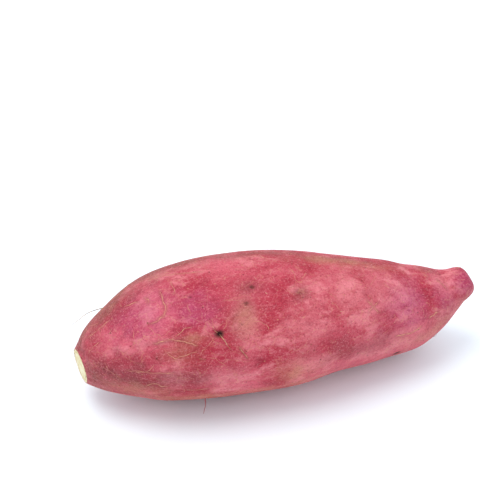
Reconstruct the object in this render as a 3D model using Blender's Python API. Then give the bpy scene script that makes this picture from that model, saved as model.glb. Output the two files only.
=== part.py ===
"""Sweet potato: one whole storage root lying on its side, as a single solid.

Metres, +Z up. The root runs along X, from the stem end at -X, which a knife has
cut flat, to the blunt tail at +X. Its belly rests on the surface at z = 0.
"""

import math

import bmesh
import bpy
from mathutils import Vector

# Driving dimensions, in metres.
LENGTH = 0.190  # stem cut to tail, along the chord of the root
WIDEST_RADIUS = 0.033  # at the fattest part of the belly
RESTING_DEPTH = 0.0005  # how far the belly's lowest skin is pressed flat

# How finely the skin is faceted.
RINGS_ALONG_BODY = 56
RINGS_ON_TAIL = 7
FACETS_AROUND = 44

# The root's stations, from the stem cut to the tail. "along" is a share of
# LENGTH. Radius, height of the centre above the surface and sideways drift of
# the centre (towards +Y) are shares of WIDEST_RADIUS.
STATIONS = (
    # along, radius, height, drift
    (0.000, 0.250, 0.640, -0.01),
    (0.040, 0.470, 0.690, 0.01),
    (0.100, 0.670, 0.780, 0.01),
    (0.180, 0.885, 0.900, -0.02),
    (0.280, 0.985, 0.980, -0.03),
    (0.400, 1.000, 0.990, -0.02),
    (0.520, 0.970, 0.955, -0.01),
    (0.640, 0.865, 0.895, 0.02),
    (0.750, 0.755, 0.825, 0.05),
    (0.840, 0.650, 0.800, 0.06),
    (0.905, 0.485, 0.920, 0.04),
    (0.945, 0.340, 1.010, 0.02),
    (0.975, 0.250, 1.110, 0.00),
    (1.000, 0.265, 1.215, -0.02),
)
TAIL_START = 0.964  # share of LENGTH where the tail starts to round off
TAIL_BLUNTNESS = 3.0  # 2 is a round end, more is flatter with tighter edges
RING_EASING = 0.045  # share of LENGTH over which rings ease round the centre line's bends

# Shallow hollows (-) and swells (+) of the skin. "along" and "reach" are shares
# of LENGTH, "turn" and "spread" are degrees round the root (see skin_point),
# and "rise" is in metres.
UNDULATIONS = (
    # along, reach, turn, spread, rise
    (0.17, 0.15, 112, 26, -0.0009),  # furrow running back from the stem cut
    (0.36, 0.05, 70, 22, -0.0006),  # dimple round the eye
    (0.63, 0.05, 140, 30, -0.0008),  # waist under the belly's front
    (0.51, 0.09, 125, 30, 0.0010),  # swell ahead of the waist
    (0.88, 0.04, 20, 30, 0.0007),  # shoulder above the tail
    (0.955, 0.012, 0, 60, -0.0008),  # nick behind the tail's knob
    (0.30, 0.18, 265, 20, -0.0010),  # long furrow on the far side
    (0.58, 0.07, 300, 26, -0.0008),
    (0.72, 0.09, 235, 28, 0.0009),
    (0.45, 0.06, 345, 24, 0.0005),
)

SKIN_COLOUR = (0.50, 0.105, 0.135, 1.0)
SKIN_ROUGHNESS = 0.6


def smooth_row(along):
    """The station values at a share of LENGTH, on one smooth curve through STATIONS."""
    last = len(STATIONS) - 2
    index = next((i for i in range(last) if along <= STATIONS[i + 1][0]), last)
    start, end = STATIONS[index], STATIONS[index + 1]
    before = STATIONS[max(index - 1, 0)]
    after = STATIONS[min(index + 2, len(STATIONS) - 1)]
    span = end[0] - start[0]
    t = (along - start[0]) / span
    row = []
    for before_v, start_v, end_v, after_v in zip(before[1:], start[1:], end[1:], after[1:]):
        leave = (end_v - before_v) / (end[0] - before[0]) * span
        arrive = (after_v - start_v) / (after[0] - start[0]) * span
        row.append(
            (2 * t**3 - 3 * t**2 + 1) * start_v
            + (t**3 - 2 * t**2 + t) * leave
            + (3 * t**2 - 2 * t**3) * end_v
            + (t**3 - t**2) * arrive
        )
    return row


def centre(along):
    """The centre line's point at a share of LENGTH."""
    _, height, drift = smooth_row(along)
    return Vector(((along - 0.5) * LENGTH, drift * WIDEST_RADIUS, height * WIDEST_RADIUS))


def direction(along):
    """The way a ring faces: the centre line's own direction, eased over RING_EASING each way."""
    return (centre(min(along + RING_EASING, 1)) - centre(max(along - RING_EASING, 0))).normalized()


def rounding(along):
    """How much of its radius the root keeps where the tail rounds off."""
    into_tail = max(0.0, (along - TAIL_START) / (1 - TAIL_START))
    return max(0.0, 1 - into_tail**TAIL_BLUNTNESS) ** (1 / TAIL_BLUNTNESS)


def ovalness(along, turn):
    """A root isn't quite round: two and three gentle lobes that twist along it."""
    two = 0.016 * math.cos(2 * turn - 2.5 * along - 0.6)
    three = 0.011 * math.cos(3 * turn + 4.0 * along)
    return 1 + two + three


def undulation(along, turn):
    """Rise of the skin from UNDULATIONS, in metres."""
    rise = 0.0
    for spot_along, reach, spot_turn, spread, height in UNDULATIONS:
        away = (along - spot_along) / reach
        aside = (math.degrees(turn) - spot_turn + 180) % 360 - 180
        rise += height * math.exp(-(away**2) - (aside / spread) ** 2)
    return rise


def skin_point(along, turn):
    """A point of the skin. turn is 0 on top, 90 degrees on the -Y side and 180 underneath."""
    forward = direction(along)
    up = Vector((0, -1, 0)).cross(forward).normalized()
    aside = forward.cross(up)
    radius = smooth_row(along)[0] * WIDEST_RADIUS * ovalness(along, turn)
    radius = (radius + undulation(along, turn)) * rounding(along)
    return centre(along) + radius * (math.cos(turn) * up + math.sin(turn) * aside)


def ring_places():
    """Shares of LENGTH that get a ring: even along the body, closing up on the tail."""
    body = [TAIL_START * i / RINGS_ALONG_BODY for i in range(RINGS_ALONG_BODY + 1)]
    quarter = math.pi / 2 / (RINGS_ON_TAIL + 1)
    tail = [TAIL_START + (1 - TAIL_START) * math.sin(quarter * (i + 1)) for i in range(RINGS_ON_TAIL)]
    return body + tail


def root_mesh():
    """The closed skin: rings joined by quads, a flat face at the cut and a point at the tail."""
    shape = bmesh.new()
    rings = []
    for along in ring_places():
        turns = [2 * math.pi * i / FACETS_AROUND for i in range(FACETS_AROUND)]
        rings.append([shape.verts.new(skin_point(along, turn)) for turn in turns])
    for near, far in zip(rings, rings[1:]):
        for i in range(FACETS_AROUND):
            j = (i + 1) % FACETS_AROUND
            shape.faces.new((near[i], near[j], far[j], far[i]))
    shape.faces.new(rings[0])
    tail_tip = shape.verts.new(centre(1.0))
    for i in range(FACETS_AROUND):
        shape.faces.new((rings[-1][i], rings[-1][(i + 1) % FACETS_AROUND], tail_tip))
    bmesh.ops.recalc_face_normals(shape, faces=shape.faces)
    surface = press_belly_flat(shape)
    stand_over_origin(shape, surface)
    mesh = bpy.data.meshes.new("sweet_potato")
    shape.to_mesh(mesh)
    shape.free()
    return mesh


def press_belly_flat(shape):
    """Levels the lowest skin into the small flat spot that the root rests on; gives its height."""
    lowest = min(vert.co.z for vert in shape.verts)
    surface = lowest + RESTING_DEPTH
    cut = bmesh.ops.bisect_plane(
        shape,
        geom=shape.verts[:] + shape.edges[:] + shape.faces[:],
        plane_co=(0, 0, surface),
        plane_no=(0, 0, -1),
        clear_outer=True,
    )
    edges = [part for part in cut["geom_cut"] if isinstance(part, bmesh.types.BMEdge)]
    bmesh.ops.holes_fill(shape, edges=edges)
    bmesh.ops.recalc_face_normals(shape, faces=shape.faces)
    return surface


def stand_over_origin(shape, surface):
    """Puts the flat spot at z = 0 and the middle of the root's box over the origin."""
    middle = []
    for axis in (0, 1):
        values = [vert.co[axis] for vert in shape.verts]
        middle.append((min(values) + max(values)) / 2)
    bmesh.ops.translate(shape, verts=shape.verts, vec=(-middle[0], -middle[1], -surface))


def skin_material():
    """Thin, dull crimson-pink skin."""
    material = bpy.data.materials.new("skin")
    material.use_nodes = True
    shader = material.node_tree.nodes["Principled BSDF"]
    shader.inputs["Base Color"].default_value = SKIN_COLOUR
    shader.inputs["Roughness"].default_value = SKIN_ROUGHNESS
    shader.inputs["Metallic"].default_value = 0.0
    return material


def main():
    for old in list(bpy.data.objects):
        bpy.data.objects.remove(old)
    root = bpy.data.objects.new("sweet_potato", root_mesh())
    root.data.materials.append(skin_material())
    bpy.context.scene.collection.objects.link(root)
    root.data.shade_smooth()
    root.data.set_sharp_from_angle(angle=math.radians(40))


main()
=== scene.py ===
import math
import random

import bmesh
import bpy
import numpy as np
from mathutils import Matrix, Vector, noise
from mathutils.bvhtree import BVHTree


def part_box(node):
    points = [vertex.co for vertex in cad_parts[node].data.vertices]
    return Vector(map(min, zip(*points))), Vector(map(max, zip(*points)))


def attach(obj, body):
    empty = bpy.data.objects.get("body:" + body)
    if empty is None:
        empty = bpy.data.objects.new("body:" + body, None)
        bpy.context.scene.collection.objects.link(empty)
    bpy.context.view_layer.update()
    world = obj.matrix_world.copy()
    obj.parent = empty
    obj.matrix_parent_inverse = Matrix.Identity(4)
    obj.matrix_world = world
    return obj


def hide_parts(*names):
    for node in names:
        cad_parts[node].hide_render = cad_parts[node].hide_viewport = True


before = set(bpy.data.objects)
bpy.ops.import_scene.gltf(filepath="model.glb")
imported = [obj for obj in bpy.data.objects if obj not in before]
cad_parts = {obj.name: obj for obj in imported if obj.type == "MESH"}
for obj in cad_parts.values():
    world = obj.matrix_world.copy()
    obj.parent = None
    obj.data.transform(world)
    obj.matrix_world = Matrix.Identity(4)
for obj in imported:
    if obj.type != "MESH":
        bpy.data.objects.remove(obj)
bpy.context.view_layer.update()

mm = 0.001
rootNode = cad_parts["sweet_potato"]
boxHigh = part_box("sweet_potato")[1]


def linear(hexColour):
    # sRGB hex to the linear colour that shaders take
    channels = [int(hexColour[i:i + 2], 16) / 255 for i in (1, 3, 5)]
    return [c / 12.92 if c <= 0.04045 else ((c + 0.055) / 1.055) ** 2.4 for c in channels] + [1.0]


def addNode(tree, kind, inputs=None, **settings):
    # one node with its settings, its input values and the links into it
    node = tree.nodes.new(kind)
    for name, value in settings.items():
        setattr(node, name, value)
    for name, value in (inputs or {}).items():
        if isinstance(value, bpy.types.NodeSocket):
            tree.links.new(value, node.inputs[name])
        else:
            node.inputs[name].default_value = value
    return node


def perMetre(sizeMm):
    # a noise or voronoi scale that gives features of this real size
    return 1000 / sizeMm


def ease(value, start, end):
    # 0 before start, 1 after end, smooth between; works on arrays
    t = np.clip((value - start) / (end - start), 0, 1)
    return t * t * (3 - 2 * t)


cameraStand = {
    "azimuth": -13.7,       # degrees round the root from looking along +Y
    "elevation": 31.9,      # degrees above the surface
    "distance": 0.440,      # metres
    "lens": 70.0,
    "aimRight": -0.0197,    # metres, from the middle of the root, in the camera's own directions
    "aimUp": 0.0386,
    "aimHeight": 0.030,     # of the root's middle above the surface
}


def setCamera(stand):
    turn, tilt = math.radians(stand["azimuth"]), math.radians(stand["elevation"])
    back = Vector((math.sin(turn) * math.cos(tilt), -math.cos(turn) * math.cos(tilt), math.sin(tilt)))
    right = Vector((math.cos(turn), math.sin(turn), 0))
    up = back.cross(right)
    aim = Vector((0, 0, stand["aimHeight"])) + right * stand["aimRight"] + up * stand["aimUp"]
    data = bpy.data.cameras.new("studioCamera")
    data.lens = stand["lens"]
    data.clip_start, data.clip_end = 0.01, 20
    camera = bpy.data.objects.new("studioCamera", data)
    camera.location = aim + back * stand["distance"]
    camera.rotation_mode = "QUATERNION"
    camera.rotation_quaternion = (-back).to_track_quat("-Z", "Y")
    bpy.context.scene.collection.objects.link(camera)
    bpy.context.scene.camera = camera
    return camera


setCamera(cameraStand)
print("camera set")


wrap = {
    "rings": 328,           # from the stem cut to the tail's knob
    "capRings": 26,         # over the knob's round end
    "columns": 256,         # round the root
    "knobDepth": 7.0,       # mm from the middle of the knob to its very end
    "ringEase": 8.5,        # mm over which rings ease round the middle line's bends
    "smoothAlong": 1.8,     # mm, softens the coarse facets of the frame's solid
    "smoothRound": 4.0,     # degrees, the same round the root
    "cutNormal": (-0.9675, -0.2397, -0.0812),       # the knife went through a little askew
    "cutBlend": 9.0,        # mm of skin over which that slant dies away
}


def mergedCopy(node):
    shape = bmesh.new()
    shape.from_mesh(node.data)
    bmesh.ops.remove_doubles(shape, verts=shape.verts, dist=1e-6)
    shape.normal_update()
    return shape


def softened(values, sigma, axis, closed):
    # gaussian smoothing of an array along one axis, run round if closed, carried straight on if not
    reach = int(math.ceil(3 * sigma))
    values = np.moveaxis(values, axis, 0)
    if closed:
        padded = np.concatenate([values[-reach:], values, values[:reach]])
    else:
        before = 2 * values[0] - values[reach:0:-1]
        after = 2 * values[-1] - values[-2:-reach - 2:-1]
        padded = np.concatenate([before, values, after])
    weights = np.exp(-0.5 * (np.arange(-reach, reach + 1) / sigma) ** 2)
    weights /= weights.sum()
    smooth = sum(w * padded[i:i + len(values)] for i, w in enumerate(weights))
    return np.moveaxis(smooth, 0, axis)


def findCut(shape):
    # the stem cut is the largest flat patch that faces -X
    facing = [f for f in shape.faces if f.normal.x < -0.8]
    best = max(facing, key=lambda f: sum(g.calc_area() for g in facing if g.normal.dot(f.normal) > 0.9999))
    patch = [f for f in facing if f.normal.dot(best.normal) > 0.9999]
    area = sum(f.calc_area() for f in patch)
    middle = sum((f.calc_center_median() * f.calc_area() for f in patch), Vector()) / area
    return np.array(middle), -np.array(best.normal)


def middleLine(shape, tree):
    # points down the middle of the root from the stem cut to the knob, 1 mm apart, and the cut's direction
    cutMiddle, cutDirection = findCut(shape)
    edges = np.array([[list(v.co) for v in e.verts] for e in shape.edges])
    line = [cutMiddle]
    for x in np.arange(cutMiddle[0] + 8 * mm, boxHigh.x - 8 * mm, 4 * mm):
        a, b = edges[:, 0], edges[:, 1]
        crossing = (a[:, 0] - x) * (b[:, 0] - x) < 0
        share = (x - a[crossing, 0]) / (b[crossing, 0] - a[crossing, 0])
        points = a[crossing] + share[:, None] * (b[crossing] - a[crossing])
        line.append((points.min(0) + points.max(0)) / 2)
    last = Vector(line[-1])
    onward = (last - Vector(line[-3])).normalized()
    tip = tree.ray_cast(last, onward)[0]
    knobMiddle = tip - onward * wrap["knobDepth"] * mm
    line = [p for p in line if (knobMiddle - Vector(p)).dot(onward) > 1.5 * mm] + [np.array(knobMiddle)]
    line = np.array(line)
    walked = np.concatenate([[0], np.cumsum(np.linalg.norm(np.diff(line, axis=0), axis=1))])
    even = np.linspace(0, walked[-1], int(walked[-1] / mm) + 1)
    line = np.stack([np.interp(even, walked, line[:, k]) for k in range(3)], 1)
    return softened(line, 4.0, 0, False), cutDirection


def ringDirections(line, cutDirection):
    # which way each millimetre's ring faces: eased along the line, square to the cut at the cut
    step = int(wrap["ringEase"])
    count = len(line)
    ahead = line[np.minimum(np.arange(count) + step, count - 1)]
    behind = line[np.maximum(np.arange(count) - step, 0)]
    directions = ahead - behind
    directions /= np.linalg.norm(directions, axis=1)[:, None]
    near = ease(np.arange(count, dtype=float), 0, 14)[:, None]
    directions = directions * near + cutDirection * (1 - near)
    return directions / np.linalg.norm(directions, axis=1)[:, None]


def wrapRoot(node):
    # the frame's solid as rings of points; row 0 is the cut's rim, the last row is one turn short of the tip
    shape = mergedCopy(node)
    tree = BVHTree.FromBMesh(shape)
    line, cutDirection = middleLine(shape, tree)
    directions = ringDirections(line, cutDirection)
    shape.free()
    columns = wrap["columns"]
    turns = np.arange(columns) * 2 * math.pi / columns
    places = np.linspace(0.12, len(line) - 1, wrap["rings"])
    known = np.arange(len(line))
    middles, forwards, leans = [], [], []
    for place in places:
        middles.append([np.interp(place, known, line[:, k]) for k in range(3)])
        forwards.append([np.interp(place, known, directions[:, k]) for k in range(3)])
        leans.append(0.0)
    for i in range(1, wrap["capRings"]):
        middles.append(middles[-1])
        forwards.append(forwards[-1])
        leans.append(math.pi / 2 * i / wrap["capRings"])
    reach = np.zeros((len(middles), columns))
    rays = np.zeros((len(middles), columns, 3))
    side = Vector((0, -1, 0))
    for row, (middle, forward, lean) in enumerate(zip(middles, forwards, leans)):
        forward = Vector(forward).normalized()
        up = side.cross(forward).normalized()
        across = forward.cross(up)
        for column, turn in enumerate(turns):
            ray = (up * math.cos(turn) + across * math.sin(turn)) * math.cos(lean) + forward * math.sin(lean)
            hit = tree.ray_cast(Vector(middle), ray)
            reach[row, column] = hit[3] if hit[0] is not None else reach[row - 1, column]
            rays[row, column] = ray
    alongStep = (len(line) - 1) / wrap["rings"]
    reach = softened(reach, wrap["smoothAlong"] / alongStep, 0, False)
    reach = softened(reach, wrap["smoothRound"] / (360 / columns), 1, True)
    points = np.array(middles)[:, None, :] + rays * reach[..., None]
    return points, np.array(middles), np.array(forwards), cutDirection, turns


def slantedCut(points, cutDirection):
    # slides the first rings along the root until the cut lies square to its own normal
    normal = np.array(wrap["cutNormal"]) / np.linalg.norm(wrap["cutNormal"])
    middle = points[0].mean(0)
    walked = np.concatenate([[0], np.cumsum(np.linalg.norm(np.diff(points, axis=0), axis=2).mean(1))]) / mm
    flat = (points - middle) - ((points - middle) @ cutDirection)[..., None] * cutDirection
    slide = (flat @ normal) / -(cutDirection @ normal)
    fading = (1 - ease(walked, 0, wrap["cutBlend"]))[:, None]
    return points + (slide * fading)[..., None] * cutDirection, -normal


rootPoints, rootMiddles, rootForwards, cutForward, rootTurns = wrapRoot(rootNode)
rootPoints, cutForward = slantedCut(rootPoints, cutForward)
ringSteps = np.linalg.norm(np.diff(rootPoints, axis=0), axis=2).mean(1)
ringAlong = np.concatenate([[0], np.cumsum(ringSteps)]) / mm      # mm along the skin from the cut
rootLength = ringAlong[-1]
ringRadius = np.linalg.norm(rootPoints - rootMiddles[:, None, :], axis=2).mean(1) / mm
print("root wrapped:", rootPoints.shape, "length along the skin", round(rootLength, 1), "mm")


# Places on the skin: mm along it from the cut, and degrees round: 0 top, 90 front, 180 underneath.
skinRelief = {
    "lumps": [(30, 0.30), (13, 0.12)],              # noise size and height, mm
    "furrows": {"size": 9, "stretch": 6, "height": 0.10},     # long shallow grooves
    "bands": {"size": 5, "stretch": 5, "height": 0.05},       # faint rings round the root
    "net": {"size": 2.6, "stretch": 1.7, "height": 0.055},    # wrinkled skin between
    "grain": {"size": 1.1, "height": 0.02},
    "veinRise": 0.06, "veinReach": 1.1,             # mm, of the skin beside a cord
    "eyeBrow": 0.28,                                # height of an eye's brow, as a share of its depth
    "seed": Vector((3.1, 7.7, 1.9)),
}


def noiseOver(points, sizeMm, stretch=(1, 1, 1), shift=Vector((0, 0, 0))):
    # smooth noise at every point, about -1 to 1; stretch lengthens it along an axis
    scaled = points / (sizeMm * mm) / np.array(stretch)
    flat = scaled.reshape(-1, 3)
    values = [noise.noise(Vector(p) + shift) for p in flat]
    return np.array(values).reshape(points.shape[:2]) * 1.6


def netOver(points, sizeMm, stretch=(1, 1, 1), shift=Vector((0, 0, 0))):
    # 0 in the cells of a wrinkled net and 1 on its folds
    scaled = points / (sizeMm * mm) / np.array(stretch)
    folds = []
    for p in scaled.reshape(-1, 3):
        near = noise.voronoi(Vector(p) + shift)[0]
        folds.append(near[1] - near[0])
    return 1 - ease(np.array(folds).reshape(points.shape[:2]), 0.0, 0.35)


def gridNormals(points):
    alongWay = np.gradient(points, axis=0)
    roundWay = (np.roll(points, -1, 1) - np.roll(points, 1, 1)) / 2
    normals = np.cross(alongWay, roundWay)
    normals /= np.linalg.norm(normals, axis=2)[..., None] + 1e-12
    outward = ((points - rootMiddles[:, None, :]) * normals).sum(2).mean()
    return normals if outward > 0 else -normals


alongGrid = ringAlong[:, None] + np.zeros(len(rootTurns))[None, :]
turnGrid = np.degrees(rootTurns)[None, :] + np.zeros(len(ringAlong))[:, None]
radiusGrid = ringRadius[:, None] + np.zeros(len(rootTurns))[None, :]
rootNormals = gridNormals(rootPoints)
noiseShift = skinRelief["seed"]


def gap(at):
    # how far every point of the skin is from a place: mm along, mm round
    along, turn = at
    return alongGrid - along, np.radians((turnGrid - turn + 180) % 360 - 180) * radiusGrid


def lineGap(places):
    # shortest distance, mm, of every point of the skin from a line through these places
    best = np.full(alongGrid.shape, 1e3)
    for (alongA, turnA), (alongB, turnB) in zip(places, places[1:]):
        da, dr = gap((alongA, turnA))
        ea, er = alongB - alongA, math.radians((turnB - turnA + 180) % 360 - 180) * radiusGrid
        size = ea * ea + er * er + 1e-9
        share = np.clip((da * ea + dr * er) / size, 0, 1)
        best = np.minimum(best, np.hypot(da - share * ea, dr - share * er))
    return best


def skinHeights():
    relief = skinRelief
    height = np.zeros(alongGrid.shape)
    for i, (size, rise) in enumerate(relief["lumps"]):
        height += rise * noiseOver(rootPoints, size, shift=noiseShift * (i + 1))
    ends = 1 + 0.8 * (1 - ease(alongGrid, 0, 40)) + 0.6 * ease(alongGrid, rootLength - 50, rootLength - 25)
    part = relief["furrows"]
    furrows = noiseOver(rootPoints, part["size"], (part["stretch"], 1, 1), noiseShift * 3)
    height += part["height"] * ends * furrows
    part = relief["bands"]
    bands = noiseOver(rootPoints, part["size"], (1, part["stretch"], part["stretch"]), noiseShift * 4)
    height -= part["height"] * ends * np.maximum(bands, 0) ** 2
    part = relief["net"]
    warp = noiseOver(rootPoints, 6, shift=noiseShift * 5)[..., None] * 1.2 * mm
    net = netOver(rootPoints + warp, part["size"], (part["stretch"], 1, 1), noiseShift)
    patchy = 0.35 + 0.65 * ease(noiseOver(rootPoints, 16, shift=noiseShift * 6), -0.5, 0.5)
    height += part["height"] * net * patchy
    part = relief["grain"]
    height += part["height"] * noiseOver(rootPoints, part["size"], shift=noiseShift * 7)
    return height


# "at" and each place is (mm along the skin from the cut, degrees round the root).
eyes = [      # pits that rootlets grew from, and small scars: place, width and depth in mm, how dark
    ((67.3, 57.8), 3.4, 1.1, 1.0),
    ((58.8, 24.9), 1.7, 0.20, 0.5),
    ((69.4, 40.0), 1.4, 0.15, 0.4),
    ((77.0, 53.0), 1.5, 0.15, 0.4),
    ((80.3, 38.1), 2.4, 0.25, 0.5),
    ((84.3, 25.3), 2.4, 0.30, 0.7),
    ((103.4, 33.4), 3.4, 0.30, 0.35),
    ((157.4, 122.0), 3.4, 0.50, 1.0),
    ((118.0, 250.0), 3.2, 1.0, 1.0),
    ((40.0, 300.0), 2.6, 0.7, 0.9),
    ((150.0, 305.0), 1.8, 0.30, 0.7),
    ((84.0, 225.0), 2.0, 0.30, 0.7),
    ((172.0, 205.0), 2.4, 0.50, 0.8),
    ((55.0, 172.0), 1.8, 0.20, 0.6),
]

veins = [     # corky cords: the places that each runs through, width in mm, strength
    ([(41, 39), (43.5, 38.8), (45.2, 36.2), (46.5, 35.6), (48, 31), (47.6, 23), (47, 12)], 0.57, 1.0),
    ([(41, 12), (42.2, 16), (41.8, 20)], 0.52, 0.9),
    ([(33, 10.6), (35.8, 11.2), (38.6, 13.5)], 0.47, 0.8),
    ([(41.2, 57), (47, 55.8), (52.6, 58.7), (58.2, 64)], 0.68, 0.8),
    ([(50, 54), (53, 50), (57, 48)], 0.52, 0.6),
    ([(45, 66), (48, 72), (53, 70), (58, 68)], 0.62, 0.6),
    ([(27.9, 81), (34, 82), (40, 84.7), (47, 85)], 0.42, 0.7),
    ([(34.2, 103.6), (36.7, 98), (39.3, 97.7), (41, 101.8), (44.3, 101)], 0.52, 0.8),
    ([(51, 107), (55, 109), (61, 108)], 0.47, 0.8),
    ([(74.7, 71), (76.5, 76), (78, 80.6)], 0.42, 0.9),
    ([(137.4, 51), (134.8, 44.5)], 0.42, 0.9),
    ([(137.4, 51), (140.8, 57)], 0.42, 0.9),
    ([(137.4, 51), (140.7, 47)], 0.42, 0.8),
    ([(137.4, 51), (134.6, 55.5)], 0.42, 0.8),
    ([(137.4, 51), (137.6, 41)], 0.42, 0.6),
    ([(190.4, 17.5), (192.2, 29), (193.1, 40)], 0.57, 0.9),
    ([(180.4, 68.3), (176, 71), (172.8, 72.1)], 0.90, 0.7),
    ([(151, 85), (157, 85), (162, 84), (167.4, 79)], 0.90, 0.7),
    ([(44, 352), (50, 353), (58, 358), (66, 2)], 0.52, 0.7),
    ([(40, 346), (45, 348), (54, 351)], 0.47, 0.6),
    ([(52, 4), (53, 12), (52.6, 19)], 0.42, 0.6),
    ([(10, 44), (15, 38), (20, 36)], 0.42, 0.5),
    ([(12, 14), (19, 17), (27, 14)], 0.42, 0.5),
    ([(20, 338), (30, 341), (38, 338)], 0.47, 0.6),
    ([(60, 318), (66, 312), (75, 314), (79, 305), (84, 303)], 0.57, 0.9),
    ([(96, 288), (99, 280), (99, 270), (103, 262)], 0.52, 0.8),
    ([(24, 262), (32, 266), (38, 259), (47, 262)], 0.52, 0.7),
    ([(125, 226), (133, 229), (138, 221), (149, 223)], 0.52, 0.8),
    ([(160, 338), (164, 345), (170, 343)], 0.47, 0.6),
    ([(70, 196), (78, 192), (90, 197), (97, 190)], 0.57, 0.6),
]

creases = [     # folds of the skin: places, width and depth in mm; the deeper ones also get more painted shade
    ([(1, 62), (9, 63), (20, 61)], 1.8, 0.22),
    ([(1, 84), (12, 85), (30, 87), (46, 90)], 3.0, 0.16),
    ([(1, 105), (10, 106), (24, 108)], 1.8, 0.24),
    ([(1, 130), (12, 128), (26, 131)], 1.8, 0.22),
    ([(1, 35), (8, 33), (18, 35)], 1.6, 0.18),
    ([(1, 5), (10, 3), (22, 6)], 1.8, 0.22),
    ([(1, 320), (12, 323), (28, 320)], 2.0, 0.25),
    ([(1, 280), (14, 277), (30, 281)], 2.0, 0.28),
    ([(1, 240), (10, 243), (22, 240)], 1.8, 0.22),
    ([(1, 195), (10, 192), (24, 196)], 1.8, 0.22),
    ([(67.3, 57.8), (65.2, 52), (64.6, 46)], 1.6, 0.26),
    ([(67.3, 57.8), (71, 56), (75, 57.5)], 1.6, 0.24),
    ([(67, 58.5), (63, 61), (60, 61.5)], 1.6, 0.22),
    ([(118, 250), (122, 247), (127, 249)], 1.6, 0.24),
    ([(118, 250), (113, 252), (109, 250)], 1.6, 0.22),
    ([(193, 330), (194, 350), (193.5, 10), (195, 30)], 2.4, 0.25),
    ([(196, 60), (197, 80), (196.5, 100), (198, 125)], 2.2, 0.22),
    ([(194, 200), (195, 230), (194, 260)], 2.2, 0.22),
]

tints = {     # patches of colour, a few of them painted shade: place, length and width in mm, strength
    "purple": [
        ((60, 38), 18, 18, 0.55), ((40, 26), 34, 26, 0.5), ((157, 52), 28, 24, 0.8),
        ((188, 52), 18, 18, 0.5), ((203, 66), 14, 16, 0.7), ((60, 250), 30, 26, 0.6),
        ((130, 285), 40, 24, 0.6), ((165, 220), 24, 24, 0.5),
    ],
    "crimson": [
        ((28, 70), 48, 10, 1.0), ((14, 55), 18, 14, 0.8), ((67, 68), 28, 20, 1.0),
        # (74, 20) and (112, 6) along the top are deeper crimson, partly the skin's own and partly painted
        # shadow; (64, 40) is painted shadow
        ((54, 64), 10, 12, 0.6), ((74, 20), 56, 22, 0.75), ((112, 6), 50, 20, 0.6),
        ((64, 40), 22, 14, 0.8), ((112, 80), 36, 16, 0.6), ((150, 74), 34, 11, 0.5),
        ((40, 282), 50, 24, 0.7), ((110, 238), 44, 26, 0.6), ((150, 322), 30, 18, 0.5),
        ((18, 40), 16, 16, 0.6), ((168, 180), 40, 20, 0.4),
    ],
    "pale": [
        ((104, 62), 26, 20, 0.65), ((148, 38), 26, 14, 0.55), ((160, 83), 34, 5, 0.7),
        ((79.5, 57), 12, 22, 0.7), ((126, 36), 30, 22, 0.75), ((143, 40), 34, 24, 0.6),
        ((137.5, 51), 9, 8, 0.8), ((112, 66), 14, 10, 0.5), ((104, 93), 16, 8, 0.5),
        ((162, 96), 50, 12, 0.6), ((66, 96), 16, 10, 0.4), ((190, 25), 14, 12, 0.5),
        ((90, 300), 34, 26, 0.7), ((140, 252), 30, 22, 0.6), ((55, 220), 20, 20, 0.5),
        ((20, 200), 20, 14, 0.4), ((108, 45), 22, 16, 0.45),
    ],
    "tan": [
        ((28, 112), 40, 10, 0.6), ((57, 128), 36, 9, 0.85), ((86, 126), 36, 8, 0.75),
        ((106, 122), 24, 8, 0.7), ((100, 102), 16, 12, 0.85), ((36, 330), 36, 6, 0.25),
        ((128, 357), 34, 8, 0.7), ((150, 2), 20, 6, 0.4), ((50, 68), 12, 14, 0.35),
        ((57, 58), 10, 6, 0.6), ((79, 50), 9, 14, 0.5), ((75, 328), 30, 10, 0.5),
        ((120, 200), 40, 14, 0.6), ((172, 250), 20, 12, 0.5), ((176, 100), 30, 10, 0.5),
        ((200, 110), 16, 12, 0.4),
    ],
    "brown": [
        ((12, 346), 30, 16, 1.0), ((30, 338), 44, 18, 1.0), ((58, 340), 38, 12, 0.9),
        ((90, 345), 50, 8, 0.7), ((75, 50), 9, 14, 0.45), ((80, 46), 10, 12, 0.4),
        ((24, 346), 40, 22, 1.0), ((44, 338), 40, 16, 0.9), ((52, 66), 14, 12, 0.3),
        ((18, 330), 34, 12, 0.8), ((126, 354), 36, 6, 0.8), ((60, 300), 34, 12, 0.5),
        ((104, 34), 8, 7, 0.35), ((157.8, 124), 10, 7, 0.7), ((30, 128), 44, 8, 0.5),
        ((6, 92), 12, 30, 0.5), ((140, 190), 40, 14, 0.6), ((184, 348), 16, 8, 0.6),
    ],
    "dull": [
        # the broad patches 12 to 44 mm along, round 86 to 92 degrees, are painted shade on the lower front
        # near the cut; (47, 57) is a painted shadow beside a ridge; (103, 35), (80, 39) and (83, 26) are
        # smudges on the skin
        ((24, 92), 54, 22, 1.0), ((44, 92), 44, 14, 0.8), ((12, 86), 20, 14, 0.8),
        ((103, 35), 8, 7, 0.8), ((80, 39), 9, 8, 0.6), ((83, 26), 12, 10, 0.7),
        ((135, 92), 50, 12, 0.6), ((120, 84), 16, 10, 0.4), ((47, 57), 22, 3, 0.6),
        ((22, 90), 20, 12, 0.5), ((184, 84), 20, 12, 0.4), ((110, 275), 18, 10, 0.5),
        ((70, 240), 24, 12, 0.5),
    ],
}


def eyeRelief():
    pits, stain = np.zeros(alongGrid.shape), np.zeros(alongGrid.shape)
    for at, width, depth, dark in eyes:
        da, dr = gap(at)
        far = np.hypot(da, dr * 1.15) / (width / 2)
        brow = skinRelief["eyeBrow"] * np.exp(-((far - 2.0) / 0.9) ** 2)
        pits += depth * (brow - np.exp(-far ** 2))
        stain = np.maximum(stain, np.exp(-(far / 1.05) ** 2) * dark)
    return pits, stain


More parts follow.
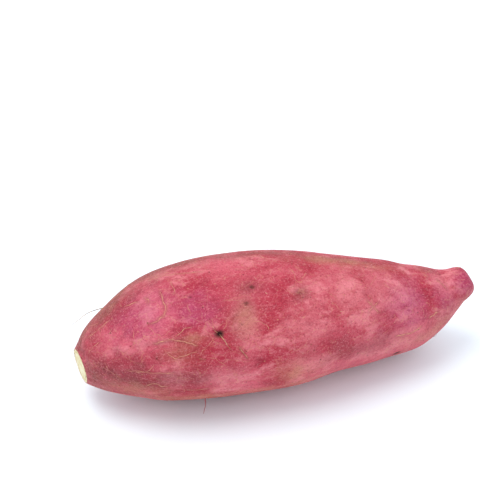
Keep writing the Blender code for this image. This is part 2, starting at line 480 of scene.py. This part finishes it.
def veinMarks():
    # the darker skin beside each cord
    marks = np.zeros(alongGrid.shape)
    for places, width, strength in veins:
        near = np.exp(-(lineGap(places) / skinRelief["veinReach"]) ** 2)
        marks = np.maximum(marks, strength * near)
    return marks


def creaseFoldsAndShade():
    # the folds' depth, and painted shade that darkens the skin in each fold
    folds, marks = np.zeros(alongGrid.shape), np.zeros(alongGrid.shape)
    for places, width, depth in creases:
        near = np.exp(-(lineGap(places) / (width / 2)) ** 2)
        folds = np.maximum(folds, depth * near)
        marks = np.maximum(marks, near * ease(depth, 0.0, 0.35))
    return folds, marks


def tintMarks(name):
    marks = np.zeros(alongGrid.shape)
    ragged = noiseOver(rootPoints, 7, shift=noiseShift * 9)
    ragged = ragged + 0.5 * noiseOver(rootPoints, 3, shift=noiseShift * 10)
    for at, length, width, strength in tints[name]:
        da, dr = gap(at)
        far = np.maximum(np.hypot(da / (length / 2), dr / (width / 2)) + 0.30 * ragged, 0)
        marks = np.maximum(marks, strength * np.exp(-1.1 * far ** 2))
    return marks


cutFace = {
    "rings": 12,
    "skinEdge": 0.45,       # mm, width of the skin's own edge round the cut
    "sunk": 0.15,           # mm, how far the dried flesh has drawn back inside it
    "roughness": 0.12,      # mm
}
bakeStrip = {"skinTop": 0.90, "discMiddle": (0.06, 0.952), "discRadius": 0.042, "edge": 0.003}


def shapedSkin():
    # the rings of points with the skin's relief, and the marks that go with it
    pits, stain = eyeRelief()
    folds, creaseShade = creaseFoldsAndShade()
    veinMark = veinMarks()
    height = skinHeights() + pits - folds + skinRelief["veinRise"] * veinMark
    height *= ease(alongGrid, -1.0, 3.0) * 0.6 + 0.4
    points = rootPoints + rootNormals * (height * mm)[..., None]
    points[..., 2] = np.maximum(points[..., 2], 0)      # the flat spot stays flat
    marks = {"eyeStain": stain, "veinMark": veinMark, "creaseShade": creaseShade,
             "alongSkin": alongGrid / rootLength, "underness": (1 - np.cos(np.radians(turnGrid))) / 2}
    for name in tints:
        marks[name + "Tint"] = tintMarks(name)
    return points, marks


skinPoints, skinMarks = shapedSkin()


def cutRings(rim):
    # rings of points across the cut, from the skin inwards, and its middle: a little sunk and rough
    rimMiddle, outward = rim.mean(0), -cutForward
    rimWidth = np.linalg.norm(rim - rimMiddle, axis=1)
    skinEdge = cutFace["skinEdge"] * mm
    rings = []
    for ring in range(1, cutFace["rings"]):
        share = 1 - ring / cutFace["rings"]
        inset = ease(rimWidth * (1 - share), skinEdge * 0.4, skinEdge * 1.4)
        place = rimMiddle + (rim - rimMiddle) * share
        crumbs = [noise.noise(Vector(p) / (1.3 * mm)) + noise.noise(Vector(p) / (4 * mm)) for p in place]
        sink = cutFace["sunk"] * inset - cutFace["roughness"] * np.array(crumbs) * inset
        rings.append(place - outward * (sink * mm)[:, None])
    return np.array(rings), rimMiddle - outward * cutFace["sunk"] * mm


def skinFaces(rows, columns, tipIndex):
    # the skin's faces and the fan over the tip, with their places on the map, whose seam runs underneath
    top, edge = bakeStrip["skinTop"], bakeStrip["edge"]
    across = edge + (1 - 2 * edge) * (np.arange(columns + 1) / columns)
    upward = edge + (top - edge) * ringAlong / rootLength
    half = columns // 2
    faces, maps = [], []
    for row in range(rows - 1):
        near, far = row * columns, (row + 1) * columns
        low, high = upward[row], upward[row + 1]
        for i in range(columns):
            column, after = (i + half) % columns, (i + half + 1) % columns
            left, right = across[i], across[i + 1]
            faces.append((near + column, near + after, far + after, far + column))
            maps.append([(left, low), (right, low), (right, high), (left, high)])
    last = (rows - 1) * columns
    for i in range(columns):
        left, right = across[i], across[i + 1]
        faces.append((last + (i + half) % columns, last + (i + half + 1) % columns, tipIndex))
        maps.append([(left, top), (right, top), ((left + right) / 2, top + 0.002)])
    return faces, maps


def cutFaces(columns, start, middleIndex):
    # the faces of the cut, whose rings inside the rim begin at index start, and their round place on the map
    middle, radius = bakeStrip["discMiddle"], bakeStrip["discRadius"]
    count = cutFace["rings"]

    def place(ring, column):
        angle, reach = 2 * math.pi * column / columns, radius * (1 - ring / count)
        return middle[0] + reach * math.cos(angle), middle[1] + reach * math.sin(angle)

    rings = [list(range(columns))]
    rings += [list(range(start + r * columns, start + (r + 1) * columns)) for r in range(count - 1)]
    faces, maps = [], []
    for ring in range(count - 1):
        outer, inner = rings[ring], rings[ring + 1]
        for column in range(columns):
            after = (column + 1) % columns
            faces.append((outer[after], outer[column], inner[column], inner[after]))
            maps.append([place(ring, column + 1), place(ring, column),
                         place(ring + 1, column), place(ring + 1, column + 1)])
    for column in range(columns):
        faces.append((inner[(column + 1) % columns], inner[column], middleIndex))
        maps.append([place(count - 1, column + 1), place(count - 1, column), middle])
    return faces, maps


def addMark(mesh, name, values):
    mesh.attributes.new(name, "FLOAT", "POINT").data.foreach_set("value", values)


def rootMesh():
    rows, columns = skinPoints.shape[:2]
    rings, cutMiddle = cutRings(skinPoints[0])
    tip = skinPoints[-1].mean(0) + rootForwards[-1] * 0.05 * mm
    verts = np.concatenate([skinPoints.reshape(-1, 3), rings.reshape(-1, 3), [tip, cutMiddle]])
    faces, maps = skinFaces(rows, columns, len(verts) - 2)
    flesh, fleshMaps = cutFaces(columns, rows * columns, len(verts) - 1)
    mesh = bpy.data.meshes.new("sweetPotato")
    mesh.from_pydata([tuple(v) for v in verts], [], faces + flesh)
    layer = mesh.uv_layers.new(name="OFBake")
    layer.data.foreach_set("uv", [value for face in maps + fleshMaps for place in face for value in place])
    mesh.polygons.foreach_set("material_index", [0] * len(faces) + [1] * len(flesh))
    for name, grid in skinMarks.items():
        addMark(mesh, name, np.concatenate([grid.ravel(), np.zeros(len(rings) * columns + 2)]))
    rimShare = np.zeros(len(verts))
    rimShare[:columns] = 1.0
    shares = 1 - (np.arange(len(rings)) + 1) / cutFace["rings"]
    rimShare[rows * columns:-2] = np.repeat(shares, columns)
    addMark(mesh, "rimShare", rimShare)
    mesh.update()
    shape = bmesh.new()
    shape.from_mesh(mesh)
    if shape.calc_volume(signed=True) < 0:
        bmesh.ops.reverse_faces(shape, faces=shape.faces)
        shape.to_mesh(mesh)
    shape.free()
    mesh.shade_smooth()
    return mesh


body = bpy.data.objects.new("sweetPotato", rootMesh())
bpy.context.scene.collection.objects.link(body)
print("root modelled:", len(body.data.polygons), "faces")


def newMaterial(name, roughness):
    # a new material, with its tree, its shader and the place of each point on the object
    material = bpy.data.materials.new(name)
    material.use_nodes = True
    tree = material.node_tree
    shader = tree.nodes["Principled BSDF"]
    shader.inputs["Roughness"].default_value = roughness
    return material, tree, shader, addNode(tree, "ShaderNodeTexCoord").outputs["Object"]


def shaderTools(tree):
    # the small sums that the materials share, for one tree
    def mixed(share, first, second):
        return addNode(tree, "ShaderNodeMix", {0: share, 6: first, 7: second}, data_type="RGBA").outputs[2]

    def between(value, low, high, least=0.0, most=1.0):
        return addNode(tree, "ShaderNodeMapRange", {
            "Value": value, "From Min": low, "From Max": high, "To Min": least, "To Max": most},
            interpolation_type="SMOOTHSTEP").outputs["Result"]

    def times(first, second):
        return addNode(tree, "ShaderNodeMath", {0: first, 1: second}, operation="MULTIPLY").outputs[0]

    def mark(name):
        return addNode(tree, "ShaderNodeAttribute", attribute_name=name).outputs["Fac"]

    def mottled(vector, sizeMm, detail, rough):
        return addNode(tree, "ShaderNodeTexNoise", {
            "Vector": vector, "Scale": perMetre(sizeMm), "Detail": detail, "Roughness": rough}).outputs["Fac"]

    return mixed, between, times, mark, mottled


skinFinish = {
    # dull serves both smudges on the skin and painted shade; deep also darkens the creases as painted shade
    "crimson": "#a8283c", "pink": "#cc5a6a", "deep": "#7c1628", "purple": "#a84e7a", "pale": "#e0828a",
    "tan": "#bb7c62", "brown": "#80443a", "dull": "#742e32", "vein": "#cb8a6e", "speck": "#57281f",
    "eye": "#1d0f0a", "dust": "#d98a8e",
    # each pattern's size in mm, and its noise's detail and roughness
    "patterns": {"zone": (36, 4, 0.55), "cloud": (9, 6, 0.68), "mottle": (3.2, 6, 0.75),
                 "grain": (0.9, 3, 0.8), "streak": (0.9, 4, 0.7)},
    "net": 4.2, "fineNet": 1.9, "speckle": 2.4,                # mm
    # layers of colour: the pattern, where in it the colour starts and is full, its strength, the colour
    "clouds": [("cloud", 0.49, 0.64, 0.75, "pale"), ("cloud", 0.48, 0.32, 0.45, "deep")],
    "details": [("mottle", 0.56, 0.74, 0.32, "pale"), ("mottle", 0.44, 0.28, 0.45, "deep"),
                ("streak", 0.58, 0.74, 0.34, "vein"), ("grain", 0.54, 0.68, 0.50, "dust"),
                ("grain", 0.46, 0.32, 0.55, "deep")],
    "patches": {"crimson": 1.0, "purple": 0.75, "dull": 0.95, "pale": 0.85, "brown": 0.95, "tan": 0.85},
    "roughness": 0.58, "specular": 0.16, "sheen": 0.04,        # the sheen is the dusty edge of the skin
    "wrinkleHeight": 0.00022,
}


def skinMaterial():
    # Thin periderm of a raw sweet potato, washed and dry: matt, crimson where it is thick, pink where it is
    # rubbed, with buff cork in its cracks and a soft dusty edge. Its creases and a few patches carry painted
    # shade.
    look = skinFinish
    material, tree, shader, place = newMaterial("sweetPotatoSkin", look["roughness"])
    mixed, between, times, mark, mottled = shaderTools(tree)

    warp = addNode(tree, "ShaderNodeTexNoise", {"Vector": place, "Scale": perMetre(5), "Detail": 3})
    warp = addNode(tree, "ShaderNodeVectorMath", {0: warp.outputs["Color"], 1: (0.5, 0.5, 0.5)},
                   operation="SUBTRACT").outputs[0]
    bent = addNode(tree, "ShaderNodeVectorMath", {0: warp, 1: (0.003,) * 3, 2: place},
                   operation="MULTIPLY_ADD").outputs[0]
    lengthwise = addNode(tree, "ShaderNodeMapping", {"Vector": bent, "Scale": (0.22, 1, 1)}).outputs[0]
    slightlyLong = addNode(tree, "ShaderNodeMapping", {"Vector": bent, "Scale": (0.6, 1, 1)}).outputs[0]
    stretched = {"cloud": slightlyLong, "mottle": slightlyLong, "streak": lengthwise}
    pattern = {name: mottled(stretched.get(name, place), *how) for name, how in look["patterns"].items()}
    net, fineNet = [addNode(tree, "ShaderNodeTexVoronoi", {"Vector": slightlyLong, "Scale": perMetre(size)},
                            feature="DISTANCE_TO_EDGE").outputs["Distance"]
                    for size in (look["net"], look["fineNet"])]
    speckle = addNode(tree, "ShaderNodeTexVoronoi", {"Vector": place, "Scale": perMetre(look["speckle"])})

    def layered(colour, layers):
        for name, start, full, strength, shade in layers:
            colour = mixed(between(pattern[name], start, full, 0, strength), colour, linear(look[shade]))
        return colour

    # broad zones first, then the placed patches, a few of which are painted shade, each with an edge broken by
    # the mottling
    mottle, grain = pattern["mottle"], pattern["grain"]
    colour = mixed(between(pattern["zone"], 0.40, 0.60), linear(look["crimson"]), linear(look["pink"]))
    colour = layered(colour, look["clouds"])
    for name, most in look["patches"].items():
        broken = times(mark(name + "Tint"), between(mottle, 0.34, 0.58, 0.55 * most, most))
        colour = mixed(broken, colour, linear(look[name]))
    underside = times(between(mark("underness"), 0.72, 0.98), between(mottle, 0.40, 0.62))
    colour = mixed(times(underside, 0.6), colour, linear(look["tan"]))
    nearCut = times(between(mark("alongSkin"), 0.10, 0.0), between(mottle, 0.35, 0.6))
    colour = mixed(times(nearCut, 0.55), colour, linear(look["dull"]))

    # fine detail: mottling, rubbed grain, cork lines, specks, and painted shade in the creases
    colour = layered(colour, look["details"])
    rubbed = times(between(fineNet, 0.10, 0.02, 0, 0.20), between(mottle, 0.42, 0.58))
    colour = mixed(rubbed, colour, linear(look["pale"]))
    cracks = times(between(net, 0.034, 0.008, 0, 0.30), between(pattern["cloud"], 0.42, 0.60))
    colour = mixed(cracks, colour, linear(look["vein"]))
    chosen = addNode(tree, "ShaderNodeSeparateColor", {0: speckle.outputs["Color"]}).outputs
    fewTan = times(between(speckle.outputs["Distance"], 0.22, 0.12), between(chosen[0], 0.80, 0.82))
    fewDark = times(between(speckle.outputs["Distance"], 0.20, 0.10), between(chosen[1], 0.90, 0.92))
    colour = mixed(times(fewTan, 0.40), colour, linear(look["vein"]))
    colour = mixed(times(fewDark, 0.75), colour, linear(look["speck"]))
    colour = mixed(between(mark("veinMark"), 0.20, 1.0, 0, 0.35), colour, linear(look["brown"]))
    # painted shade: the deep colour darkens the skin along each crease
    colour = mixed(between(mark("creaseShade"), 0.20, 1.0, 0, 0.18), colour, linear(look["deep"]))
    ragged = addNode(tree, "ShaderNodeMath", {0: grain, 1: 0.9, 2: -0.45},
                     operation="MULTIPLY_ADD").outputs[0]
    stain = addNode(tree, "ShaderNodeMath", {0: mark("eyeStain"), 1: ragged}).outputs[0]
    colour = mixed(between(stain, 0.10, 0.50, 0, 0.70), colour, linear(look["speck"]))
    colour = mixed(between(stain, 0.52, 0.82, 0, 0.92), colour, linear(look["eye"]))
    tree.links.new(colour, shader.inputs["Base Color"])

    rough = addNode(tree, "ShaderNodeMapRange", {
        "Value": mottle, "From Min": 0.3, "From Max": 0.7, "To Min": look["roughness"] - 0.10,
        "To Max": look["roughness"] + 0.12}).outputs["Result"]
    tree.links.new(rough, shader.inputs["Roughness"])
    shader.inputs["Specular IOR Level"].default_value = look["specular"]
    shader.inputs["Sheen Weight"].default_value = look["sheen"]
    shader.inputs["Sheen Roughness"].default_value = 0.45
    shader.inputs["Sheen Tint"].default_value = linear("#d8a080")

    # wrinkles too fine for the mesh
    raised = grain
    for fold, share in ((between(fineNet, 0.0, 0.16), 0.45), (pattern["streak"], 0.8),
                        (between(net, 0.0, 0.10), 0.6)):
        raised = addNode(tree, "ShaderNodeMath", {0: fold, 1: share, 2: raised},
                         operation="MULTIPLY_ADD").outputs[0]
    bump = addNode(tree, "ShaderNodeBump", {
        "Height": raised, "Distance": look["wrinkleHeight"], "Strength": 1.0})
    tree.links.new(bump.outputs[0], shader.inputs["Normal"])
    return material


fleshFinish = {
    "dry": "#e6dcbd", "damp": "#d8c695", "ring": "#b9a36c", "edge": "#b9766a", "speck": "#5b4a24",
    "blotch": 3.0, "fibre": 0.7, "speckle": 1.9,      # mm
    "roughness": 0.82, "crumbHeight": 0.00018,
}


def fleshMaterial():
    # Dried cut flesh: chalky cream, with a faint ring of sap vessels inside the skin and a few rusty specks.
    look = fleshFinish
    material, tree, shader, place = newMaterial("driedSweetPotatoFlesh", look["roughness"])
    mixed, between, times, mark, mottled = shaderTools(tree)
    rim = mark("rimShare")
    blotch = mottled(place, look["blotch"], 4, 0.6)
    fibre = mottled(place, look["fibre"], 4, 0.7)
    speckle = addNode(tree, "ShaderNodeTexVoronoi", {"Vector": place, "Scale": perMetre(look["speckle"])})
    chosen = addNode(tree, "ShaderNodeSeparateColor", {0: speckle.outputs["Color"]}).outputs
    colour = mixed(between(blotch, 0.35, 0.65), linear(look["dry"]), linear(look["damp"]))
    ring = times(between(rim, 0.70, 0.80), between(rim, 0.90, 0.82))
    colour = mixed(times(ring, between(fibre, 0.35, 0.60, 0.1, 0.7)), colour, linear(look["ring"]))
    dots = times(between(speckle.outputs["Distance"], 0.34, 0.16), between(chosen[0], 0.62, 0.66))
    colour = mixed(times(dots, between(rim, 0.45, 0.85, 0.15, 0.9)), colour, linear(look["speck"]))
    colour = mixed(between(rim, 0.94, 1.0, 0, 0.9), colour, linear(look["edge"]))
    tree.links.new(colour, shader.inputs["Base Color"])
    bump = addNode(tree, "ShaderNodeBump", {
        "Height": fibre, "Distance": look["crumbHeight"], "Strength": 1.0})
    tree.links.new(bump.outputs[0], shader.inputs["Normal"])
    return material


body.data.materials.append(skinMaterial())
body.data.materials.append(fleshMaterial())


rootHairs = {
    "sides": 6, "step": 0.35,       # mm between the rings of a hair
    "taper": 0.7,                   # share of its thickness that a hair loses towards its tip
    "colours": ("#7d5a3c", "#c8a077"), "red": "#a4505c",
    # each strand: places (mm along the skin, degrees round, mm above it), radius in mm, how red
    "strands": [
        ([(67.3, 57.8, -0.5), (68.0, 60.5, 0.5), (69.0, 64.0, 0.9), (69.8, 67.5, 0.8),
          (71.2, 71.4, 0.3)], 0.19, 0),
        ([(67.0, 57.5, -0.4), (65.8, 55.0, 0.5), (64.9, 53.0, 0.5)], 0.13, 0),
        ([(74.7, 71.1, 0.0), (76.0, 75.0, 0.35), (78.0, 80.6, 0.1)], 0.14, 0.3),
        ([(60.3, 133, -0.3), (60.3, 133, 1.4), (60.0, 131, 3.4), (59.2, 129, 5.6), (58.6, 127, 7.6)], 0.24, 1),
        ([(24.0, 338, -0.3), (21.5, 337, 1.6), (18.0, 336, 3.6), (14.0, 335, 4.6), (10.0, 335, 6.5)], 0.21, 0),
        ([(118, 250, -0.4), (119, 254, 0.7), (121, 259, 1.0), (124, 262, 0.3)], 0.18, 0),
        ([(40, 300, -0.4), (39, 303, 0.8), (36, 306, 1.6), (33, 307, 2.4)], 0.15, 0),
        ([(172, 205, -0.3), (175, 204, 0.9), (179, 201, 1.4)], 0.15, 0.6),
        ([(202, 350, -0.2), (204, 352, 0.9), (205, 356, 1.9)], 0.13, 0),
    ],
}

corkCords = {
    "sides": 6, "step": 0.55,
    "colours": ("#b4675a", "#cc8f72"), "red": "#a4505c",
    "bedded": 0.60,                 # share of its radius that a cord's middle lies under the skin
    "wander": 0.60, "wanderSize": 2.4,      # mm that a cord strays, and over what length
    "hairlines": 190, "seed": 4,            # short fine cracks all over
    "hairlineLength": (3.0, 12.0), "hairlineRadius": (0.09, 0.16),
}

scattered = {
    "corkFlecks": {"perSquareMetre": 1800.0, "seed": 11, "smallest": 0.4, "largest": 1.1,
                   "colours": ("#a85a54", "#c98a78")},
    "rootlets": {"perSquareMetre": 420.0, "seed": 5, "smallest": 0.4, "largest": 1.1,
                 "colours": ("#8a5a42", "#c08c68")},
}


def onSkin(along, turn, lift):
    # a point above the finished skin, in metres
    row = float(np.interp(along, ringAlong, np.arange(len(ringAlong))))
    column = (turn % 360) / 360 * len(rootTurns)
    r0, c0 = int(row), int(column) % len(rootTurns)
    r1, c1 = min(r0 + 1, len(ringAlong) - 1), (c0 + 1) % len(rootTurns)
    a, b = row - int(row), column - int(column)
    near = skinPoints[r0, c0] * (1 - a) * (1 - b) + skinPoints[r1, c0] * a * (1 - b)
    near = near + skinPoints[r0, c1] * (1 - a) * b + skinPoints[r1, c1] * a * b
    point = near + rootNormals[r0, c0] * lift * mm
    point[2] = max(point[2], 0.25 * mm)
    return tuple(point)


def fibreMaterial(name, colours, red=None):
    # dry cork or root fibre: dull, patchy in colour
    material, tree, shader, place = newMaterial(name, 0.75)
    mixed, between, times, mark, mottled = shaderTools(tree)
    share = addNode(tree, "ShaderNodeMapRange", {
        "Value": mottled(place, 2.2, 4, 0.5), "From Min": 0.38, "From Max": 0.62}).outputs[0]
    colour = mixed(share, linear(colours[0]), linear(colours[1]))
    if red:
        colour = mixed(mark("strandRed"), colour, linear(red))
    tree.links.new(colour, shader.inputs["Base Color"])
    return material


def newTree(name, inputs):
    # a geometry tree with named inputs; returns it, its input node and its output node
    tree = bpy.data.node_groups.new(name, "GeometryNodeTree")
    tree.interface.new_socket("Geometry", in_out="INPUT", socket_type="NodeSocketGeometry")
    for label, kind in inputs:
        tree.interface.new_socket(label, in_out="INPUT", socket_type=kind)
    tree.interface.new_socket("Geometry", in_out="OUTPUT", socket_type="NodeSocketGeometry")
    return tree, tree.nodes.new("NodeGroupInput"), tree.nodes.new("NodeGroupOutput")


def grown(name, mesh, tree, values):
    # runs a tree on a mesh, with its inputs set by identifier, and keeps the result as a plain mesh
    piece = bpy.data.objects.new(name, mesh)
    bpy.context.scene.collection.objects.link(piece)
    modifier = piece.modifiers.new(name, "NODES")
    modifier.node_group = tree
    for item in tree.interface.items_tree:
        if item.item_type == "SOCKET" and item.in_out == "INPUT" and item.name in values:
            modifier[item.identifier] = values[item.name]
    plain = bpy.data.meshes.new_from_object(piece.evaluated_get(bpy.context.evaluated_depsgraph_get()))
    piece.modifiers.remove(modifier)
    piece.data = plain
    plain.name = name
    plain.shade_smooth()
    return piece


def strandTree():
    # lines of points turned into tapering strands
    tree, given, result = newTree("strands", [
        ("sides", "NodeSocketInt"), ("step", "NodeSocketFloat"), ("fibre", "NodeSocketMaterial")])
    curve = addNode(tree, "GeometryNodeMeshToCurve", {"Mesh": given.outputs["Geometry"]})
    smooth = addNode(tree, "GeometryNodeCurveSplineType", {"Curve": curve.outputs[0]},
                     spline_type="CATMULL_ROM")
    even = addNode(tree, "GeometryNodeResampleCurve", {
        "Curve": smooth.outputs[0], "Length": given.outputs["step"]}, mode="LENGTH")
    thick = addNode(tree, "GeometryNodeInputNamedAttribute", {"Name": "strandRadius"}, data_type="FLOAT")
    ring = addNode(tree, "GeometryNodeCurvePrimitiveCircle", {
        "Resolution": given.outputs["sides"], "Radius": 1.0})
    tube = addNode(tree, "GeometryNodeCurveToMesh", {
        "Curve": even.outputs[0], "Profile Curve": ring.outputs[0], "Scale": thick.outputs[0],
        "Fill Caps": True})
    real = addNode(tree, "GeometryNodeRealizeInstances", {"Geometry": tube.outputs[0]})
    painted = addNode(tree, "GeometryNodeSetMaterial", {"Geometry": real.outputs[0],
                      "Material": given.outputs["fibre"]})
    tree.links.new(painted.outputs[0], result.inputs[0])
    return tree


def scatterTree(name, shape):
    # small shapes strewn over the skin, turned to lie on it, kept off the cut and the underside
    def marked(mark):
        return addNode(tree, "GeometryNodeInputNamedAttribute", {"Name": mark}, data_type="FLOAT").outputs[0]

    tree, given, result = newTree(name, [
        ("perSquareMetre", "NodeSocketFloat"), ("seed", "NodeSocketInt"), ("smallest", "NodeSocketFloat"),
        ("largest", "NodeSocketFloat"), ("surface", "NodeSocketMaterial")])
    clear = addNode(tree, "ShaderNodeMath", {0: marked("alongSkin"), 1: 0.5, 2: 0.45},
                    operation="COMPARE").outputs[0]
    shown = addNode(tree, "ShaderNodeMath", {0: marked("underness"), 1: 0.86},
                    operation="LESS_THAN").outputs[0]
    chosen = addNode(tree, "ShaderNodeMath", {0: clear, 1: shown}, operation="MULTIPLY").outputs[0]
    points = addNode(tree, "GeometryNodeDistributePointsOnFaces", {
        "Mesh": given.outputs["Geometry"], "Selection": chosen, "Density": given.outputs["perSquareMetre"],
        "Seed": given.outputs["seed"]})
    spin = addNode(tree, "FunctionNodeRandomValue", {2: 0.0, 3: 2 * math.pi, "Seed": given.outputs["seed"]},
                   data_type="FLOAT").outputs[1]
    upright = addNode(tree, "ShaderNodeCombineXYZ", {"Z": spin}).outputs[0]
    turned = addNode(tree, "FunctionNodeRotateRotation", {
        0: points.outputs["Rotation"],
        1: addNode(tree, "FunctionNodeEulerToRotation", {0: upright}).outputs[0]}, rotation_space="LOCAL")
    size = addNode(tree, "FunctionNodeRandomValue", {
        2: given.outputs["smallest"], 3: given.outputs["largest"], "Seed": given.outputs["seed"]},
        data_type="FLOAT").outputs[1]
    strewn = addNode(tree, "GeometryNodeInstanceOnPoints", {
        "Points": points.outputs["Points"], "Instance": shape(tree), "Rotation": turned.outputs[0],
        "Scale": size})
    real = addNode(tree, "GeometryNodeRealizeInstances", {"Geometry": strewn.outputs[0]})
    painted = addNode(tree, "GeometryNodeSetMaterial", {"Geometry": real.outputs[0],
                      "Material": given.outputs["surface"]})
    tree.links.new(painted.outputs[0], result.inputs[0])
    return tree


def fleckShape(tree):
    # a low lens of cork, 1.4 mm long
    ball = addNode(tree, "GeometryNodeMeshUVSphere", {"Segments": 8, "Rings": 5, "Radius": 1.0})
    return addNode(tree, "GeometryNodeTransform", {"Geometry": ball.outputs[0],
                   "Scale": (0.70 * mm, 0.17 * mm, 0.07 * mm)}).outputs[0]


def rootletShape(tree):
    # a short fibre, 3 mm long, that leaves the skin and lies back towards it
    bow = addNode(tree, "GeometryNodeCurveQuadraticBezier", {
        "Resolution": 7, "Start": (0, 0, -0.2 * mm), "Middle": (0.9 * mm, 0.3 * mm, 1.1 * mm),
        "End": (3.0 * mm, -0.4 * mm, 0.0)})
    ring = addNode(tree, "GeometryNodeCurvePrimitiveCircle", {"Resolution": 4, "Radius": 0.07 * mm})
    return addNode(tree, "GeometryNodeCurveToMesh", {
        "Curve": bow.outputs[0], "Profile Curve": ring.outputs[0], "Fill Caps": True}).outputs[0]


def addStrands(name, part, strands):
    # strands: for each, its points in metres, their radii in mm, and how red it is
    verts, edges, radii, reds = [], [], [], []
    for points, thickness, red in strands:
        start = len(verts)
        verts += points
        edges += [(i, i + 1) for i in range(start, len(verts) - 1)]
        radii += [radius * mm for radius in thickness]
        reds += [float(red)] * len(points)
    mesh = bpy.data.meshes.new(name + "Lines")
    mesh.from_pydata(verts, edges, [])
    addMark(mesh, "strandRadius", radii)
    addMark(mesh, "strandRed", reds)
    fibre = fibreMaterial(name + "Fibre", part["colours"], part["red"])
    return grown(name, mesh, strandTree(),
                 {"sides": part["sides"], "step": part["step"] * mm, "fibre": fibre})


def hairStrands():
    strands = []
    for places, radius, red in rootHairs["strands"]:
        shares = np.linspace(0, 1, len(places))
        strands.append(([onSkin(*place) for place in places],
                        [radius * (1 - rootHairs["taper"] * share) for share in shares], red))
    return strands


def beddedCord(places, radius, number):
    # one cord of cork that strays about its line, sinks out of sight here and there and tapers at both ends
    along = np.array([place[0] for place in places], float)
    turn = np.degrees(np.unwrap(np.radians([place[1] for place in places])))
    roundMm = np.radians(turn) * np.interp(along, ringAlong, ringRadius)
    walked = np.concatenate([[0], np.cumsum(np.hypot(np.diff(along), np.diff(roundMm)))])
    count = max(int(walked[-1] / 0.6), 3)
    points, thickness = [], []
    for place in np.linspace(0, walked[-1], count):
        a, t = np.interp(place, walked, along), np.interp(place, walked, turn)
        stray = noise.noise_vector(Vector((place / corkCords["wanderSize"], number * 3.7, 0.5)))
        stray = stray * corkCords["wander"]
        ends = min(1.0, (place + 0.2) / 2.0, (walked[-1] - place + 0.2) / 2.0)
        size = radius * ends * (0.86 + 0.5 * noise.noise(Vector((place / 2.0, number * 5.1, 9.5))))
        size = max(size, 0.02)
        a, t = a + stray.x, t + math.degrees(stray.y / np.interp(a, ringAlong, ringRadius))
        points.append(onSkin(a, t, -corkCords["bedded"] * size - 0.10 * max(0.0, radius * 0.5 - size)))
        thickness.append(size)
    return points, thickness, 0


def cordStrands():
    noise.seed_set(corkCords["seed"])       # noise_vector goes by this seed, and by the clock without it
    strands = [beddedCord(places, 0.50 * width * (0.7 + 0.3 * strength), number)
               for number, (places, width, strength) in enumerate(veins)]
    chance = random.Random(corkCords["seed"])
    for number in range(corkCords["hairlines"]):
        along, turn = 4 + (rootLength - 18) * chance.random() ** 1.25, chance.uniform(0, 360)
        heading = chance.choice((chance.gauss(0, 22), chance.gauss(0, 22),
                                 chance.gauss(90, 30), chance.gauss(40, 25)))
        places = [(along, turn)]
        for step in range(int(chance.uniform(*corkCords["hairlineLength"]) / 1.2)):
            heading += chance.gauss(0, 16)
            radius = float(np.interp(along, ringAlong, ringRadius))
            along += 1.2 * math.cos(math.radians(heading))
            turn += math.degrees(1.2 * math.sin(math.radians(heading)) / radius)
            if 2 < along < rootLength - 8:
                places.append((along, turn))
        if len(places) > 2:
            strands.append(beddedCord(places, chance.uniform(*corkCords["hairlineRadius"]), 100 + number))
    return strands


def addScattered(name, shape):
    values = dict(scattered[name])
    values["surface"] = fibreMaterial(name + "Cork", values.pop("colours"))
    return grown(name, body.data.copy(), scatterTree(name, shape), values)


hairs = addStrands("rootHairs", rootHairs, hairStrands())
cords = addStrands("corkCords", corkCords, cordStrands())
flecks = addScattered("corkFlecks", fleckShape)
rootlets = addScattered("rootlets", rootletShape)
for piece in (hairs, cords, flecks, rootlets):
    print(piece.name, "made:", len(piece.data.polygons), "faces")


studio = {
    "floorSize": 6.0,
    "floorColour": "#eff8fd",
    "world": 1.15,
    "worldColour": (0.92, 0.955, 1.0, 1.0),      # cool, so that shadows are
    "key": {"place": (-0.40, 0.0, 1.25), "size": 0.80, "power": 6.5, "colour": (1.0, 0.97, 0.93)},
}


def addFloor():
    size = studio["floorSize"] / 2
    corners = [(-size, -size, 0), (size, -size, 0), (size, size, 0), (-size, size, 0)]
    mesh = bpy.data.meshes.new("paleFloor")
    mesh.from_pydata(corners, [], [(0, 1, 2, 3)])
    floor = bpy.data.objects.new("paleFloor", mesh)
    floor.location.z = -0.05 * mm
    bpy.context.scene.collection.objects.link(floor)
    material, tree, shader, place = newMaterial("paleFloor", 0.7)
    shader.inputs["Base Color"].default_value = linear(studio["floorColour"])
    mesh.materials.append(material)
    return floor


def addLight(name, place, size, power, colour):
    data = bpy.data.lights.new(name, "AREA")
    data.shape = "DISK"
    data.size = size
    data.energy = power
    data.color = colour
    light = bpy.data.objects.new(name, data)
    light.location = place
    light.rotation_mode = "QUATERNION"
    light.rotation_quaternion = (Vector((0, 0, 0.03)) - Vector(place)).to_track_quat("-Z", "Y")
    bpy.context.scene.collection.objects.link(light)


floor = addFloor()
addLight("keyLight", **studio["key"])
world = bpy.data.worlds.new("studioWorld")
bpy.context.scene.world = world
world.use_nodes = True
world.node_tree.nodes["Background"].inputs["Color"].default_value = studio["worldColour"]
world.node_tree.nodes["Background"].inputs["Strength"].default_value = studio["world"]
bpy.context.scene.view_settings.view_transform = "Standard"      # clean white floor, colours as mixed
print("floor and lights set")


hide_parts("sweet_potato")
for piece in (body, hairs, cords, flecks, rootlets):
    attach(piece, "root")
